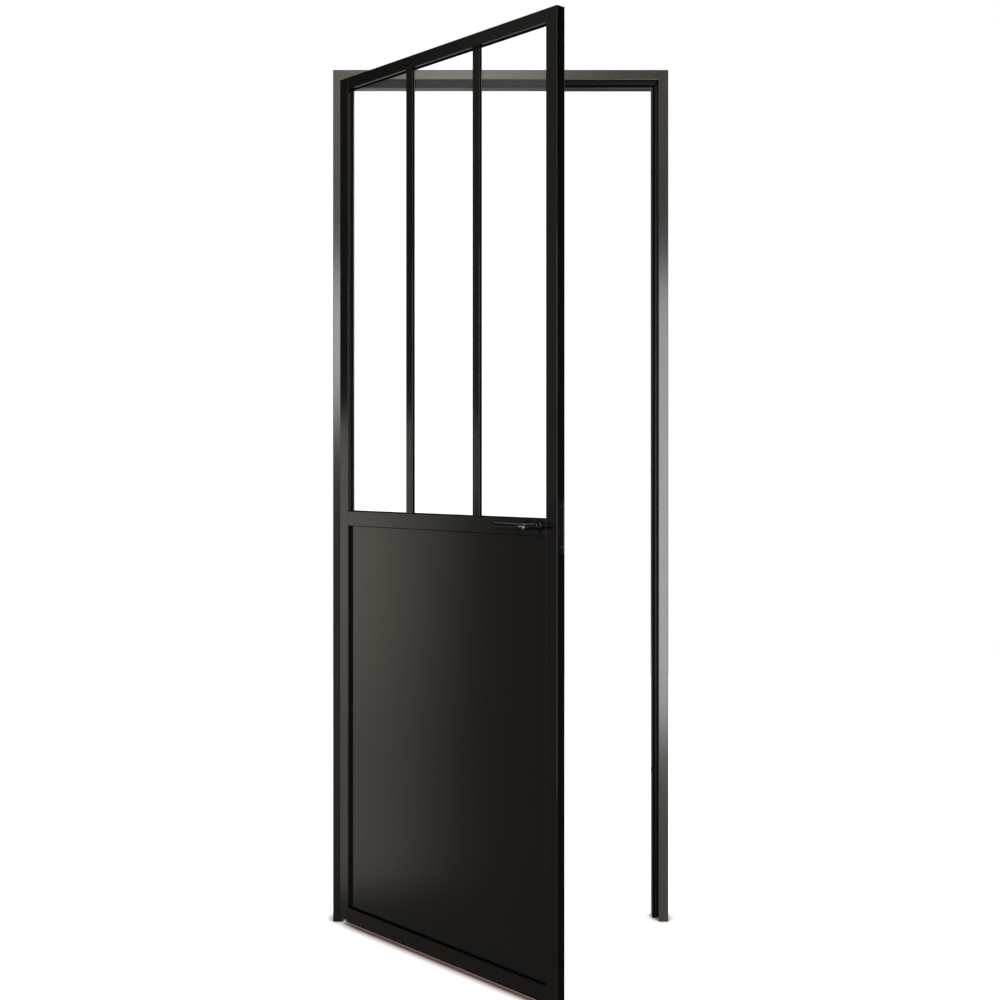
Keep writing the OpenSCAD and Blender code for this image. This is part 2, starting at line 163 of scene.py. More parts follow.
# %% [markdown]
# Glossy black shows its surroundings more than its own colour. In the photo the jambs' faces
# carry two soft glows, from lamps behind the camera, and the leaf is dark apart from a pale sheen
# on its lower hinge side. A photographer gets this with softboxes, and with dark cloth where
# nothing should show. Here two area lamps stand where the jambs mirror them. They light the
# object too, but the camera doesn't see them when another view turns towards them. A third lamp
# hangs high above, lights the floor and isn't mirrored.

# %% Hang the softboxes
def softbox(name, place, aim, width, height, watts):
    """A rectangular lamp at place that faces aim."""
    lamp = bpy.data.lights.new(name, "AREA")
    lamp.shape = "RECTANGLE"
    lamp.size, lamp.size_y = width, height
    lamp.energy = watts
    holder = bpy.data.objects.new(name, lamp)
    holder.location = place
    holder.rotation_euler = (Vector(aim) - Vector(place)).to_track_quat("-Z", "Y").to_euler()
    holder.visible_camera = False
    bpy.context.scene.collection.objects.link(holder)
    return holder


softbox("right_softbox", place=(1.02, -2.0, 0.966), aim=(0.80, 0, 0.966),
        width=0.6, height=1.74, watts=28)
softbox("left_softbox", place=(-0.36, -2.95, 1.66), aim=(0.01, 0, 1.66),
        width=0.55, height=0.66, watts=12.7)
top_lamp = softbox("top_softbox", place=(0.4, 0.6, 4.5), aim=(0.4, 0, 0),
                   width=3.0, height=3.0, watts=60)
top_lamp.visible_glossy = False

# %% [markdown]
# The background is white. The world has a strength of 1 where the camera sees it, and a little
# more through glass, because the panes hold back some of the light. It gives a dimmer plain light
# to everything else. A mirrored ray that leaves through a pane finds it dim too, or the black
# handle and the head would mirror white through the glass.

# %% Make the white world
WHITE = (1.0, 1.0, 1.0, 1.0)
THROUGH_GLASS = 1.3
AMBIENT = 0.5
MIRRORED_SHARE = 0.3

world = bpy.data.worlds.new("white_studio")
world.use_nodes = True
bpy.context.scene.world = world
tree = world.node_tree
tree.nodes.clear()
rays = add(tree, "LightPath")
direct = add(tree, "Math", {"operation": "MAXIMUM"},
             _0=rays.outputs["Is Camera Ray"], _1=rays.outputs["Is Glossy Ray"])
level = add(tree, "MapRange", {}, Value=direct.outputs[0], To_Min=AMBIENT, To_Max=1.0)
through = add(tree, "MapRange", {}, Value=rays.outputs["Is Transmission Ray"],
              To_Min=level.outputs[0], To_Max=THROUGH_GLASS)
share = add(tree, "MapRange", {}, Value=rays.outputs["Glossy Depth"], To_Min=1.0,
            To_Max=MIRRORED_SHARE)
strength = add(tree, "Math", {"operation": "MULTIPLY"},
               _0=through.outputs[0], _1=share.outputs[0])
sky = add(tree, "Background", {}, Color=WHITE, Strength=strength.outputs[0])
add(tree, "OutputWorld", {}, Surface=sky.outputs[0])
print("world nodes:", len(tree.nodes))

# %% [markdown]
# Around the set hangs a huge dome of dark cloth that only reflections see, because a mirroring
# surface takes its look from a whole room. A picture of a room could be wrapped round the set,
# but patches that are worked out stay easy to move one by one. The glow comes from the compass
# angle and the height angle of each direction, as soft-edged patches in a warm white: the pale
# floor, wall and door at the left, which the leaf mirrors, the ceiling and floor behind the
# camera and the wall at the right, which the frame mirrors, and the dim walls and floor behind
# the door, which show in the surfaces that turn away. The compass is counted in degrees from
# straight behind the camera, positive to the right, and the height from level. The dome is so
# large that a direction means the same at the door's top and at its foot.

# %% Hang the dark cloth dome
DOME_RADIUS = 60.0
DOME_SIDES = 48
CLOTH_GLOW = 0.018
WARM_WHITE = linear("#fff6e8")
# name: compass from and to with the soft edge of each, height from and to with the same, glow
CLOTH_PATCHES = {
    "pale_floor_far_left": ((-150, -102.4, 5, 6.4), (-16.7, 1.7, 1.5, 0.6), 0.70),
    "pale_floor_rim_far_left": ((-150, -102.4, 5, 6.4), (-4, 1.7, 9, 0.6), 0.45),
    "wall_at_left": ((-120, -60, 3, 3), (-90, 90, 1, 1), 0.06),
    "low_wall_at_left": ((-120, -60, 3, 3), (-90, -2.5, 1, 1), 0.08),
    "upper_wall_at_left": ((-94, -60, 8, 3), (-1.5, 90, 1, 1), 0.18),
    "pale_door_at_left": ((-98, -97, 1.5, 1.5), (-1.2, 1.6, 0.6, 0.6), 0.45),
    "ceiling_behind_left": ((-50, -4, 8, 4), (12, 50, 4, 4), 1.8),
    "ceiling_behind_right": ((4, 50, 4, 8), (12, 50, 4, 4), 1.0),
    "ceiling_light_behind": ((-3.6, -1.8, 2, 5), (13, 50, 2, 4), 8.5),
    "floor_behind_left": ((-50, -4, 8, 4), (-16, -1, 3, 4), 0.5),
    "floor_behind_right": ((4, 50, 4, 8), (-90, -1, 4, 4), 1.6),
    "wall_at_right": ((74, 80, 3, 3), (-90, 4, 1, 12), 0.7),
    "upper_wall_at_right": ((105, 140, 6, 6), (4, 40, 10, 4), 4.0),
    "wall_behind_door": ((150, 180, 10, 1), (4, 40, 4, 5), 0.2),
    "far_wall_behind_right": ((140, 180, 30, 1), (-70, 90, 20, 1), 0.14),
    "far_wall_behind_left": ((-180, -140, 1, 25), (-70, 90, 20, 1), 0.09),
    "floor_behind_door": ((-174, -150, 9, 10), (-40, -10, 3, 4), 0.5),
}


def soft_band(tree, value, start, stop, edge_before, edge_after):
    """1 where value is between start and stop, in degrees, fading to 0 over the edges outside."""
    rise = add(tree, "MapRange", {"interpolation_type": "SMOOTHSTEP"}, Value=value,
               From_Min=math.radians(start - edge_before), From_Max=math.radians(start))
    fall = add(tree, "MapRange", {"interpolation_type": "SMOOTHSTEP"}, Value=value,
               From_Min=math.radians(stop + edge_after), From_Max=math.radians(stop))
    return add(tree, "Math", {"operation": "MULTIPLY"},
               _0=rise.outputs[0], _1=fall.outputs[0]).outputs[0]


cloth, tree = new_material("black_molton_cloth")
cloth.cycles.emission_sampling = "NONE"
toward = add(tree, "VectorMath", {"operation": "NORMALIZE"},
             _0=add(tree, "TexCoord").outputs["Object"])
axes = add(tree, "SeparateXYZ", {}, Vector=toward.outputs[0])
back = add(tree, "Math", {"operation": "MULTIPLY"}, _0=axes.outputs["Y"], _1=-1.0)
compass = add(tree, "Math", {"operation": "ARCTAN2"}, _0=axes.outputs["X"], _1=back.outputs[0])
height = add(tree, "Math", {"operation": "ARCSINE"}, _0=axes.outputs["Z"])
glow = CLOTH_GLOW
for across, upward, strength in CLOTH_PATCHES.values():
    patch = add(tree, "Math", {"operation": "MULTIPLY"},
                _0=soft_band(tree, compass.outputs[0], *across),
                _1=soft_band(tree, height.outputs[0], *upward))
    glow = add(tree, "Math", {"operation": "MULTIPLY_ADD"},
               _0=patch.outputs[0], _1=strength, _2=glow).outputs[0]
light = add(tree, "Emission", {}, Color=WARM_WHITE, Strength=glow)
add(tree, "OutputMaterial", {}, Surface=light.outputs[0])

drape = bmesh.new()
bmesh.ops.create_uvsphere(drape, u_segments=DOME_SIDES, v_segments=DOME_SIDES // 2,
                          radius=DOME_RADIUS)
dome_mesh = bpy.data.meshes.new("cloth_dome")
drape.to_mesh(dome_mesh)
drape.free()
dome_mesh.materials.append(cloth)
dome = bpy.data.objects.new("cloth_dome", dome_mesh)
dome.location = ((cad_low.x + cad_high.x) / 2, 0, EYE.z)
bpy.context.scene.collection.objects.link(dome)
dome.visible_camera = dome.visible_diffuse = dome.visible_transmission = False
dome.visible_shadow = dome.visible_volume_scatter = False
dome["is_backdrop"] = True
print("cloth patches:", len(CLOTH_PATCHES))

# %% [markdown]
# The floor is matt white paper. Lamps alone would leave it a little grey, so it glows faintly for
# the camera. The Ambient Occlusion node measures how open the space above the paper is. Where
# something stands close, the glow fades and a painted shadow turns the paper's colour to a warm
# grey, so the painted shadow and the door's real shadow show together at its foot.

# %% Lay the paper floor
PAPER_SIDE = 8.0
PAPER_GLOW = 0.62
SHADOW_REACH_MM = 35
SHADOW_TINT = "#a07c70"
SHUT_IN, FULLY_OPEN = 0.35, 0.95
FIBRE_MM = 2.5
FIBRE_DEPTH_MM = 0.2

paper, tree = new_material("matt_white_paper")
rays = add(tree, "LightPath")
seen = add(tree, "Math", {"operation": "MAXIMUM"},
           _0=rays.outputs["Is Camera Ray"], _1=rays.outputs["Is Transmission Ray"])
near = add(tree, "AmbientOcclusion", {"samples": 16}, Distance=SHADOW_REACH_MM * MM)
open_share = add(tree, "MapRange", {}, Value=near.outputs["AO"], From_Min=SHUT_IN,
                 From_Max=FULLY_OPEN)
# Painted shadow: where something stands close, the paper's colour runs from white to the warm grey of SHADOW_TINT.
painted_shadow_colour = add(tree, "MixRGB", {}, Fac=open_share.outputs[0], Color1=linear(SHADOW_TINT),
           Color2=WHITE)
level = add(tree, "MapRange", {}, Value=open_share.outputs[0], To_Max=PAPER_GLOW)
glow = add(tree, "Math", {"operation": "MULTIPLY"}, _0=seen.outputs[0], _1=level.outputs[0])
fibres = add(tree, "TexNoise", {}, Vector=add(tree, "TexCoord").outputs["Object"],
             Scale=per_metre(FIBRE_MM))
rough = add(tree, "Bump", {}, Strength=0.05, Distance=FIBRE_DEPTH_MM * MM,
            Height=fibres.outputs[0])
shader = add(tree, "BsdfPrincipled", {}, Base_Color=painted_shadow_colour.outputs[0], Roughness=0.9,
             Emission_Color=WHITE, Emission_Strength=glow.outputs[0], Normal=rough.outputs[0])
add(tree, "OutputMaterial", {}, Surface=shader.outputs[0])

sheet = bmesh.new()
bmesh.ops.create_grid(sheet, x_segments=1, y_segments=1, size=PAPER_SIDE / 2)
floor_mesh = bpy.data.meshes.new("paper_floor")
sheet.to_mesh(floor_mesh)
sheet.free()
floor_mesh.materials.append(paper)
floor = bpy.data.objects.new("paper_floor", floor_mesh)
floor.location = ((cad_low.x + cad_high.x) / 2, 0, cad_low.z)
bpy.context.scene.collection.objects.link(floor)
floor.visible_glossy = False
floor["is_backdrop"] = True
print("floor side, m:", PAPER_SIDE)

# %% [markdown]
# The frame and the leaf are steel with a black powder coat. The powder melts in an oven and flows
# out into a film with a very slight waviness, which painters call orange peel, so a reflection in
# it is soft and a little uneven. The colour is a warm near black, never pure black. The leaf is
# the darker and glossier of the two, and its face mirrors the room more sharply. The real waves
# are one to two millimetres long, less than a pixel here, so they are drawn about twice as long.

# %% Mix the powder coats
PEEL_MM, PEEL_DEPTH_MM = 3.0, 0.02
GRAIN_MM = 0.8
CLOUD_MM = 140.0
GLOSS_SPREAD = 0.03
NOISE_LOW, NOISE_HIGH = 0.3, 0.7


def powder_coat(name, hex_dark, hex_light, roughness, peel):
    """Powder-coated steel: a wavy film over fine grain, with faint clouds in its colour."""
    material, tree = new_material(name)
    place = add(tree, "TexCoord").outputs["Object"]
    clouds = add(tree, "TexNoise", {}, Vector=place, Scale=per_metre(CLOUD_MM), Detail=3.0)
    tone = add(tree, "MixRGB", {}, Fac=clouds.outputs[0], Color1=linear(hex_dark),
               Color2=linear(hex_light))
    grain = add(tree, "TexNoise", {}, Vector=place, Scale=per_metre(GRAIN_MM), Detail=2.0)
    gloss = add(tree, "MapRange", {}, Value=grain.outputs[0], From_Min=NOISE_LOW,
                From_Max=NOISE_HIGH, To_Min=roughness - GLOSS_SPREAD,
                To_Max=roughness + GLOSS_SPREAD)
    waves = add(tree, "TexNoise", {}, Vector=place, Scale=per_metre(PEEL_MM), Detail=1.0)
    wavy = add(tree, "Bump", {}, Strength=peel, Distance=PEEL_DEPTH_MM * MM,
               Height=waves.outputs[0])
    shader = add(tree, "BsdfPrincipled", {}, Base_Color=tone.outputs[0], IOR=1.5,
                 Roughness=gloss.outputs[0], Normal=wavy.outputs[0])
    add(tree, "OutputMaterial", {}, Surface=shader.outputs[0])
    return material


frame_coat = powder_coat("frame_powder_coated_steel", "#080707", "#0b0a09", 0.20, 0.2)
leaf_coat = powder_coat("leaf_powder_coated_steel", "#050404", "#070605", 0.10, 0.2)
print("powder coats:", frame_coat.name, leaf_coat.name)

# %% [markdown]
# The smaller parts have their own finishes. Seals and gaskets are extruded EPDM rubber: the soft
# foamed kind drinks nearly all light, and the dense kind has a faint sheen. The caps and foot
# plugs are moulded polyamide with a fine spark-eroded grain. All of them scatter the light at a
# fine grain, so one function makes them, and the colour, the roughness and the sheen differ.

# %% Mix the rubber and the moulded plastic
POLYMER_SPREAD = 0.08


def matt_polymer(name, hex_colour, roughness, grain_mm, depth_mm, sheen=0.5):
    """Rubber or plastic with the grain of its mould or die."""
    material, tree = new_material(name)
    place = add(tree, "TexCoord").outputs["Object"]
    grain = add(tree, "TexNoise", {}, Vector=place, Scale=per_metre(grain_mm), Detail=3.0)
    gloss = add(tree, "MapRange", {}, Value=grain.outputs[0], To_Min=roughness - POLYMER_SPREAD,
                To_Max=roughness + POLYMER_SPREAD)
    skin = add(tree, "Bump", {}, Strength=0.4, Distance=depth_mm * MM, Height=grain.outputs[0])
    shader = add(tree, "BsdfPrincipled", {}, Base_Color=linear(hex_colour), IOR=1.5,
                 Roughness=gloss.outputs[0], Specular_IOR_Level=sheen, Normal=skin.outputs[0])
    add(tree, "OutputMaterial", {}, Surface=shader.outputs[0])
    return material


seal_rubber = matt_polymer("foamed_epdm_rubber", "#040404", roughness=0.75, grain_mm=1.5,
                           depth_mm=0.03, sheen=0.06)
dense_rubber = matt_polymer("dense_epdm_rubber", "#080808", roughness=0.35, grain_mm=1.5,
                            depth_mm=0.01, sheen=0.15)
moulded_plastic = matt_polymer("moulded_polyamide", "#131313", roughness=0.5, grain_mm=0.9,
                               depth_mm=0.02)
print("polymers:", seal_rubber.name, dense_rubber.name, moulded_plastic.name)

# %% [markdown]
# The hinges are blackened steel, and the latch plates and screws are zinc plated and blackened,
# with the fine lines of brushing along their length. The lines are a noise that is stretched
# along the brushing: it cuts the surface and makes its gloss uneven, as real brushing does. The
# black is thinner in places, so larger clouds make the colour a little lighter there.

# %% Mix the blackened metals
LINE_STRETCH = 60
METAL_SPREAD = 0.1
CUT_DEPTH_MM = 0.01
WORN_MM = 25
WORN_LIFT = 1.35
Z_AXIS = 2


def blackened_metal(name, hex_colour, roughness, line_mm, along):
    """A blackened metal with brushed lines along one axis."""
    material, tree = new_material(name)
    place = add(tree, "TexCoord").outputs["Object"]
    squeeze = [per_metre(line_mm)] * 3
    squeeze[along] = per_metre(LINE_STRETCH * line_mm)
    lines = add(tree, "Mapping", {}, Vector=place, Scale=squeeze)
    brushed = add(tree, "TexNoise", {}, Vector=lines.outputs[0], Scale=1.0, Detail=2.0)
    gloss = add(tree, "MapRange", {}, Value=brushed.outputs[0], To_Min=roughness - METAL_SPREAD,
                To_Max=roughness + METAL_SPREAD)
    worn = add(tree, "TexNoise", {}, Vector=place, Scale=per_metre(WORN_MM), Detail=4.0)
    dull = linear(hex_colour)
    tone = add(tree, "MixRGB", {}, Fac=worn.outputs[0], Color1=dull,
               Color2=[WORN_LIFT * c for c in dull[:3]] + [1.0])
    cuts = add(tree, "Bump", {}, Strength=0.3, Distance=CUT_DEPTH_MM * MM,
               Height=brushed.outputs[0])
    shader = add(tree, "BsdfPrincipled", {}, Base_Color=tone.outputs[0], Metallic=1.0,
                 Roughness=gloss.outputs[0], Normal=cuts.outputs[0])
    add(tree, "OutputMaterial", {}, Surface=shader.outputs[0])
    return material


hinge_steel = blackened_metal("blackened_hinge_steel", "#57585a", 0.42, 0.4, Z_AXIS)
plate_steel = blackened_metal("black_zinc_plated_steel", "#161618", 0.36, 0.4, Z_AXIS)
print("metals:", hinge_steel.name, plate_steel.name)

# %% [markdown]
# The panes are clear float glass, 4 mm thick. It is nearly invisible against white, and shows
# where something dark lies behind it: there a thin film of dust and cleaning marks gives it a
# pale veil. A small share of the light is therefore scattered at the surface instead of going
# through. The film could be a texture of smears, but at this distance only its veil shows.

# %% Make the float glass
CLEAR_SHARE = 0.99

float_glass, tree = new_material("clear_float_glass")
shader = add(tree, "BsdfPrincipled", {}, Base_Color=WHITE, IOR=1.52, Roughness=0.0,
             Transmission_Weight=CLEAR_SHARE)
add(tree, "OutputMaterial", {}, Surface=shader.outputs[0])
print("share of the light that goes straight through:", CLEAR_SHARE)

# %% [markdown]
# The lever and roses are cast zinc with a black powder coat of their own. It flows out flatter
# than the coat on the large parts, but is duller than the leaf's, so the bends carry small soft
# glints. Then every solid gets the finish of its slot.

# %% Make the handle's finish, and give every solid its material
handle_coat = powder_coat("handle_coated_zinc", "#050505", "#070707", 0.22, 0.1)

FINISHES = {
    "frame_paint": frame_coat,
    "leaf_paint": leaf_coat,
    "seal_rubber": seal_rubber,
    "plug_plastic": moulded_plastic,
    "hinge_steel": hinge_steel,
    "plate_steel": plate_steel,
    "clear_glass": float_glass,
    "handle_black": handle_coat,
}
slots = {part["node"]: part["material_slot"] for part in frame["record"]["subparts"]}
for node, solid in frame["nodes"].items():
    solid.data.materials.clear()
    solid.data.materials.append(FINISHES[slots[node]])
print("solids finished:", len(slots))

# %% [markdown]
# No steel edge is perfectly sharp, and the light catches it as a thin bright line. The frame's
# folded sections are solids with their own round edges. The leaf's flat solids get theirs from a
# bevel, which is a modifier, so the solid's own mesh stays as it is. A weld comes first, because
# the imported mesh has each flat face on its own. Last, the normals are set by the large faces
# alone, because a flat face whose normals lean at its corners mirrors its surroundings as if it
# were curved.

# %% Break the sharp edges
EDGE_MM = {"leaf_paint": 0.7, "plug_plastic": 0.5, "hinge_steel": 0.4, "plate_steel": 0.3}
SHARP_DEG = 40
WELD_MM = 0.01

for node, solid in frame["nodes"].items():
    if slots[node] not in EDGE_MM:
        continue
    weld = solid.modifiers.new("weld", "WELD")
    weld.merge_threshold = WELD_MM * MM
    bevel = solid.modifiers.new("edges", "BEVEL")
    bevel.width = EDGE_MM[slots[node]] * MM
    bevel.segments = 3
    bevel.limit_method = "ANGLE"
    bevel.angle_limit = math.radians(SHARP_DEG)
    bevel.face_strength_mode = "FSTR_AFFECTED"
    straight = solid.modifiers.new("straight_faces", "WEIGHTED_NORMAL")
    straight.use_face_influence = True
print("bevelled solids:", sum(bool(s.modifiers) for s in frame["nodes"].values()))

# %% [markdown]
# The small pieces come next. Each is drawn as a bmesh, the leaf's on the closed leaf, and one
# function turns it to where it stands, gives it its finish and lets it ride on its part of the
# door. Many of them are rings of points with bands of faces between, which a second function
# joins.

# %% Helpers for the small pieces
def join(shape, rings):
    """Joins each ring of vertices to the next by a band of faces."""
    for here, beyond in zip(rings, rings[1:]):
        for i in range(len(here)):
            j = (i + 1) % len(here)
            shape.faces.new((here[i], here[j], beyond[j], beyond[i]))


def fit(name, shape, slot, body, turn=STANDING, finish=None):
    """Makes an object of a bmesh, turned to its place, and lets it ride on a body."""
    bmesh.ops.recalc_face_normals(shape, faces=shape.faces)
    shape.transform(turn)
    mesh = bpy.data.meshes.new(name)
    shape.to_mesh(mesh)
    shape.free()
    mesh.materials.append(finish or FINISHES[slot])
    piece = bpy.data.objects.new(name, mesh)
    bpy.context.scene.collection.objects.link(piece)
    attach(piece, body)
    print(name, "faces:", len(mesh.polygons))


# %% [markdown]
# The glass doesn't touch the steel. A soft black gasket runs round each pane on both faces,
# pressed into the corner between the glass and the metal, and shows as a thin black line round
# the pane. It could be a curve with a bevel profile, but a curve grows thinner at a sharp corner,
# and real gaskets are mitred. So each one is a loop: the same few profile points, drawn at the
# four corners and joined by faces. The inner one is a wedge with a smooth slanted side, which
# hides the bead's edge.

# %% Lay the gaskets round the panes
GASKET_PROFILE_MM = ((0, 0), (0, 2.2), (1.0, 2.2), (2.4, 1.0), (2.4, 0))
WEDGE_PROFILE_MM = ((0, 0), (0, 5.2), (0.3, 5.2), (2.2, 0.8), (2.2, 0))


def mitred_loop(shape, left, right, bottom, top, face_y, outward, profile_mm):
    """A strip round the inside of a rectangle; a profile point is how far in and how far out."""
    rings = []
    for inward, out in profile_mm:
        x0, x1 = left + inward * MM, right - inward * MM
        z0, z1 = bottom + inward * MM, top - inward * MM
        y = face_y + outward * out * MM
        rings.append([shape.verts.new((x, y, z))
                      for x, z in ((x0, z0), (x1, z0), (x1, z1), (x0, z1))])
    join(shape, rings + rings[:1])


glass_low, glass_high = closed_box("glass")
pane_left = closed_box("hinge_stile")[1].x
pane_right = closed_box("lock_stile")[0].x
pane_bottom = closed_box("mid_rail")[1].z
pane_top = closed_box("top_rail")[0].z
for face, face_y, outward, profile, rubber in (
        ("outer", glass_low.y, -1, GASKET_PROFILE_MM, seal_rubber),
        ("inner", glass_high.y, 1, WEDGE_PROFILE_MM, dense_rubber)):
    left_bar, right_bar = closed_box(face + "_bar_left"), closed_box(face + "_bar_right")
    sides = [pane_left, left_bar[0].x, left_bar[1].x, right_bar[0].x, right_bar[1].x, pane_right]
    gasket = bmesh.new()
    for left, right in zip(sides[::2], sides[1::2]):
        mitred_loop(gasket, left, right, pane_bottom, pane_top, face_y, outward, profile)
    fit(face + "_gaskets", gasket, "seal_rubber", "leaf", LEAF, rubber)

# %% [markdown]
# The frame's seal is a soft tube with a thin flat tail, which lines the rest of the stop's front
# up to the corner of the rebate. The tube is one of the solids. The tail is one strip round the
# two jambs and the head. Three boxes would show seams at the corners, so it is drawn as one
# outline and pushed out by its thickness.

# %% Line the stop with the seal's tail
TAIL_MM = 0.6

tube_left, tube_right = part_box("hinge_seal")[0].x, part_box("strike_seal")[1].x
tube_top, stop_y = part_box("hinge_seal")[1].z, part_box("hinge_seal")[1].y
face_width = cad_high.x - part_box("strike_plate")[0].x
left, right, top = cad_low.x + face_width, cad_high.x - face_width, cad_high.z - face_width
outline = ((left, cad_low.z), (left, top), (right, top), (right, cad_low.z),
           (tube_right, cad_low.z), (tube_right, tube_top), (tube_left, tube_top),
           (tube_left, cad_low.z))
tail = bmesh.new()
flat = tail.faces.new([tail.verts.new((x, stop_y, z)) for x, z in outline])
front = bmesh.ops.extrude_face_region(tail, geom=[flat])["geom"]
bmesh.ops.translate(tail, vec=(0, -TAIL_MM * MM, 0),
                    verts=[v for v in front if isinstance(v, bmesh.types.BMVert)])
fit("seal_tail", tail, "seal_rubber", "frame", STANDING, dense_rubber)

# %% [markdown]
# A soft blade closes the gap under the leaf at its far side. It ends a hair above the floor, so
# that nearly no light comes through under the door and its foot stays in shadow. A plain box with
# its edges broken is enough for it.

# %% Hang the blade under the leaf
BLADE_MM = 2.5
BLADE_EDGE_MM = 0.6
ABOVE_FLOOR_MM = 1.5

low, high = closed_box("bottom_rail")
blade = bmesh.new()
bmesh.ops.create_cube(blade, size=1.0)
size = Vector((leaf_high.x - leaf_low.x - 2 * BLADE_MM * MM, BLADE_MM * MM,
               low.z - cad_low.z - ABOVE_FLOOR_MM * MM))
middle = Vector(((leaf_low.x + leaf_high.x) / 2, high.y - 2 * BLADE_MM * MM, low.z - size.z / 2))
bmesh.ops.transform(blade, verts=blade.verts,
                    matrix=Matrix.Translation(middle) @ Matrix.Diagonal((*size, 1)))
bmesh.ops.bevel(blade, geom=blade.edges[:], offset=BLADE_EDGE_MM * MM, segments=2,
                affect="EDGES")
fit("bottom_blade", blade, "seal_rubber", "leaf", LEAF)

# %% [markdown]
# The beads on the far side are screwed on, so that a broken pane can be changed. The screws have
# a low round head with a cross recess. A head could be cut with a boolean, but here it is drawn as
# a profile turned round an axis, whose flat top is filled round the outline of the recess, so that
# the mesh stays light.

# %% Draw a screw head
HEAD_SIDES = 32
HEAD_CORE_MM, CURVE_WIDE_MM, CURVE_HIGH_MM, CURVE_STEP_DEG = 1.2, 2.0, 1.6, 18
ROUND_HEAD_MM = [(HEAD_CORE_MM + CURVE_WIDE_MM * math.cos(a), CURVE_HIGH_MM * math.sin(a))
                 for a in (math.radians(step * CURVE_STEP_DEG) for step in range(5))]
ARM_MM, SLIT_MM = 1.5, 0.25
CROSS_MM = [(ARM_MM, SLIT_MM), (SLIT_MM, SLIT_MM), (SLIT_MM, ARM_MM),
            (-SLIT_MM, ARM_MM), (-SLIT_MM, SLIT_MM), (-ARM_MM, SLIT_MM),
            (-ARM_MM, -SLIT_MM), (-SLIT_MM, -SLIT_MM), (-SLIT_MM, -ARM_MM),
            (SLIT_MM, -ARM_MM), (SLIT_MM, -SLIT_MM), (ARM_MM, -SLIT_MM)]
CROSS_DEEP_MM = 1.0
PIT_SHARE = 0.8


def turned(shape, profile_mm, sides, place):
    """Rings of vertices round +Z joined by faces, from profile points (radius, height)."""
    rings = [[shape.verts.new(place @ Vector((r * MM * math.cos(a), r * MM * math.sin(a), h * MM)))
              for a in (2 * math.pi * i / sides for i in range(sides))] for r, h in profile_mm]
    join(shape, rings)
    return rings


def screw_head(shape, profile_mm, recess_mm, deep_mm, place):
    """A turned head, closed below, with a recess of that outline in its flat top."""
    rings = turned(shape, profile_mm, HEAD_SIDES, place)
    shape.faces.new(rings[0])
    top_mm = profile_mm[-1][1]
    rim, pit = ([shape.verts.new(place @ Vector((k * x * MM, k * y * MM, (top_mm - down) * MM)))
                 for x, y in recess_mm] for k, down in ((1.0, 0.0), (PIT_SHARE, deep_mm)))
    join(shape, (rim, pit))
    shape.faces.new(pit)
    outlines = [shape.edges.get((ring[i - 1], ring[i])) for ring in (rings[-1], rim)
                for i in range(len(ring))]
    bmesh.ops.triangle_fill(shape, edges=outlines, use_beauty=True)


print("head, mm across:", 2 * ROUND_HEAD_MM[0][0], "high:", round(ROUND_HEAD_MM[-1][1], 2))

# %% [markdown]
# Each bead is held along its middle by screws at an even pitch, with half a pitch left at either
# end. An array modifier could copy them, but the pitch has to fit each bead's own length, so the
# places are worked out and a head is drawn at each.

# %% Drive the bead screws
SCREW_PITCH_MM = 250


def spaced(start, stop):
    """Places from start to stop, as near to the pitch as fits, half a pitch from the ends."""
    count = round((stop - start) / (SCREW_PITCH_MM * MM))
    return [start + (i + 0.5) * (stop - start) / count for i in range(count)]


TO_THE_BACK = Matrix.Rotation(math.radians(-90), 4, "X")
screws = bmesh.new()
places = []
for kind in ("glass", "panel"):
    for side in ("top", "bottom", "hinge", "lock"):
        low, high = closed_box(f"{kind}_bead_{side}")
        middle = (low + high) / 2
        if side in ("top", "bottom"):
            places += [Vector((x, high.y, middle.z)) for x in spaced(low.x, high.x)]
        else:
            places += [Vector((middle.x, high.y, z)) for z in spaced(low.z, high.z)]
for place in places:
    screw_head(screws, ROUND_HEAD_MM, CROSS_MM, CROSS_DEEP_MM,
               Matrix.Translation(place) @ TO_THE_BACK)
print("bead screws:", len(places))
fit("bead_screws", screws, "plate_steel", "leaf", LEAF)

# %% [markdown]
# The latch plate and the strike plate have a screw near each end. They are the same heads, but
# they look along the plates' own directions: towards the jamb on the leaf, and towards the leaf on
# the jamb. So one function screws on either plate, and is told where its face is and which way it
# looks.

# %% Screw on the latch plate and the strike plate
PLATE_SCREW_INSET_MM = 14


def plate_screws(low, high, face_x, turn_deg):
    """A head near each end of a plate, on its face at face_x, turned about Y from looking up."""
    pair = bmesh.new()
    for z in (low.z + PLATE_SCREW_INSET_MM * MM, high.z - PLATE_SCREW_INSET_MM * MM):
        place = Matrix.Translation((face_x, (low.y + high.y) / 2, z))
        screw_head(pair, ROUND_HEAD_MM, CROSS_MM, CROSS_DEEP_MM,
                   place @ Matrix.Rotation(math.radians(turn_deg), 4, "Y"))
    return pair


low, high = closed_box("latch_plate")
fit("latch_plate_screws", plate_screws(low, high, high.x, 90), "plate_steel", "leaf", LEAF)
low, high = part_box("strike_plate")
fit("strike_plate_screws", plate_screws(low, high, low.x, -90), "plate_steel", "frame")

# %% [markdown]
# Each lever is held on its spindle by a small headless screw under its neck, with a six-sided
# socket. It stands a hair proud of the round neck, so that its edge shows. It is turned and
# filled as the other heads are, with its own profile and recess.

# %% Fit the levers' set screws
SET_SCREW_MM = ((2.2, -1.5), (2.2, 0.1), (2.0, 0.25))
SOCKET_RADIUS_MM, SOCKET_DEEP_MM = 1.2, 1.2
SOCKET_MM = [(SOCKET_RADIUS_MM * math.cos(a), SOCKET_RADIUS_MM * math.sin(a))
             for a in (math.radians(60 * i) for i in range(6))]
PAST_ROSE_MM = 6

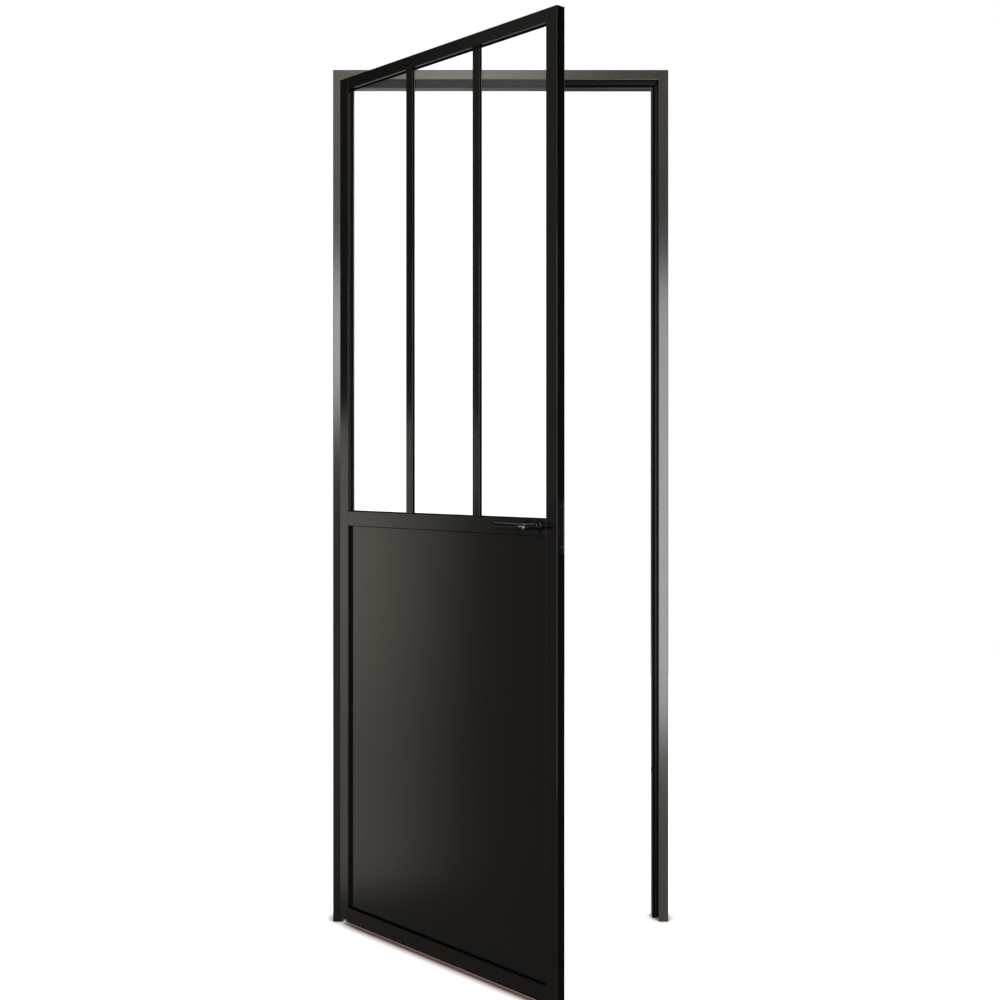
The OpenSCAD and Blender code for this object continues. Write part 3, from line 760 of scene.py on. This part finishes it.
turning = next(j for j in frame["joints"] if j["name"] == "handle_turn")
handle_axis = LEAF.inverted() @ Vector(turning["pos_m"])
low, high = closed_box("lever_outside")
neck_foot_z = handle_axis.z - (high.z - low.z) / 2
downward = Matrix.Rotation(math.radians(180), 4, "X")
pair = bmesh.new()
for y in (closed_box("rose_outside")[0].y - PAST_ROSE_MM * MM,
          closed_box("rose_inside")[1].y + PAST_ROSE_MM * MM):
    place = Matrix.Translation((handle_axis.x, y, neck_foot_z))
    screw_head(pair, SET_SCREW_MM, SOCKET_MM, SOCKET_DEEP_MM, place @ downward)
fit("lever_set_screws", pair, "plate_steel", "handle", LEAF)

# %% [markdown]
# The frame is bolted to the wall through its stop, and a push-in plastic cap closes each hole.
# The caps sit at the room end of the fixing bores that the record names. A squashed sphere would
# look right from afar, but a cap has a stub that grips the hole, a thin flange and a low dome, so
# it is turned from that profile.

# %% Push in the caps
CAP_PROFILE_MM = ((3.2, -6.0), (3.4, 0.0), (6.0, 0.0), (5.9, 0.7), (4.5, 1.1), (2.5, 1.3),
                  (0.4, 1.4))
CAP_SIDES = 40

caps = bmesh.new()
bores = [mount for mount in frame["record"]["mounts"] if mount["kind"] == "bore"]
for bore in bores:
    wall_side, y, z = bore["axis"][0], bore["pos_m"][1], bore["pos_m"][2]
    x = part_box("hinge_jamb")[1].x if wall_side < 0 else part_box("strike_jamb")[0].x
    inward = Matrix.Rotation(math.radians(-90 * wall_side), 4, "Y")
    rings = turned(caps, CAP_PROFILE_MM, CAP_SIDES, Matrix.Translation((x, y, z)) @ inward)
    caps.faces.new(rings[0])
    caps.faces.new(rings[-1])
print("caps:", len(bores))
fit("fixing_caps", caps, "plug_plastic", "frame")

# %% [markdown]
# Behind the strike plate's slot sits a moulded box that keeps plaster out of the latch. Its
# inside is a little wider than the opening that the record keeps free for the bolt. A box with a
# solidify modifier would do, but four rectangles in a row give it real walls as directly: inside
# end, inside rim, outside rim, outside end.

# %% Set the strike box
BOX_PLAY_MM = 1.5
BOX_WALL_MM = 1.2

slot = next(o for o in frame["record"]["physics"]["openings"] if o["name"] == "strike_slot")
low, high = (Vector(corner) for corner in slot["box_m"])
rim_x, end_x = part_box("strike_plate")[1].x, high.x + BOX_PLAY_MM * MM
box = bmesh.new()
rings = []
for x, grow_mm in ((end_x, BOX_PLAY_MM), (rim_x, BOX_PLAY_MM),
                   (rim_x, BOX_PLAY_MM + BOX_WALL_MM),
                   (end_x + BOX_WALL_MM * MM, BOX_PLAY_MM + BOX_WALL_MM)):
    y0, y1 = low.y - grow_mm * MM, high.y + grow_mm * MM
    z0, z1 = low.z - grow_mm * MM, high.z + grow_mm * MM
    rings.append([box.verts.new((x, y, z)) for y, z in ((y0, z0), (y1, z0), (y1, z1), (y0, z1))])
join(box, rings)
box.faces.new(rings[0])
box.faces.new(rings[-1])
fit("strike_box", box, "plug_plastic", "frame")

# %% [markdown]
# The box of the finished door is printed, as the box of the solids was at the start. The
# finish may not change the door's size.

# %% Write both sizes
bpy.context.view_layer.update()
low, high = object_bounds()
print("visual box, mm:", [round(v / MM, 1) for v in (*low, *high)])
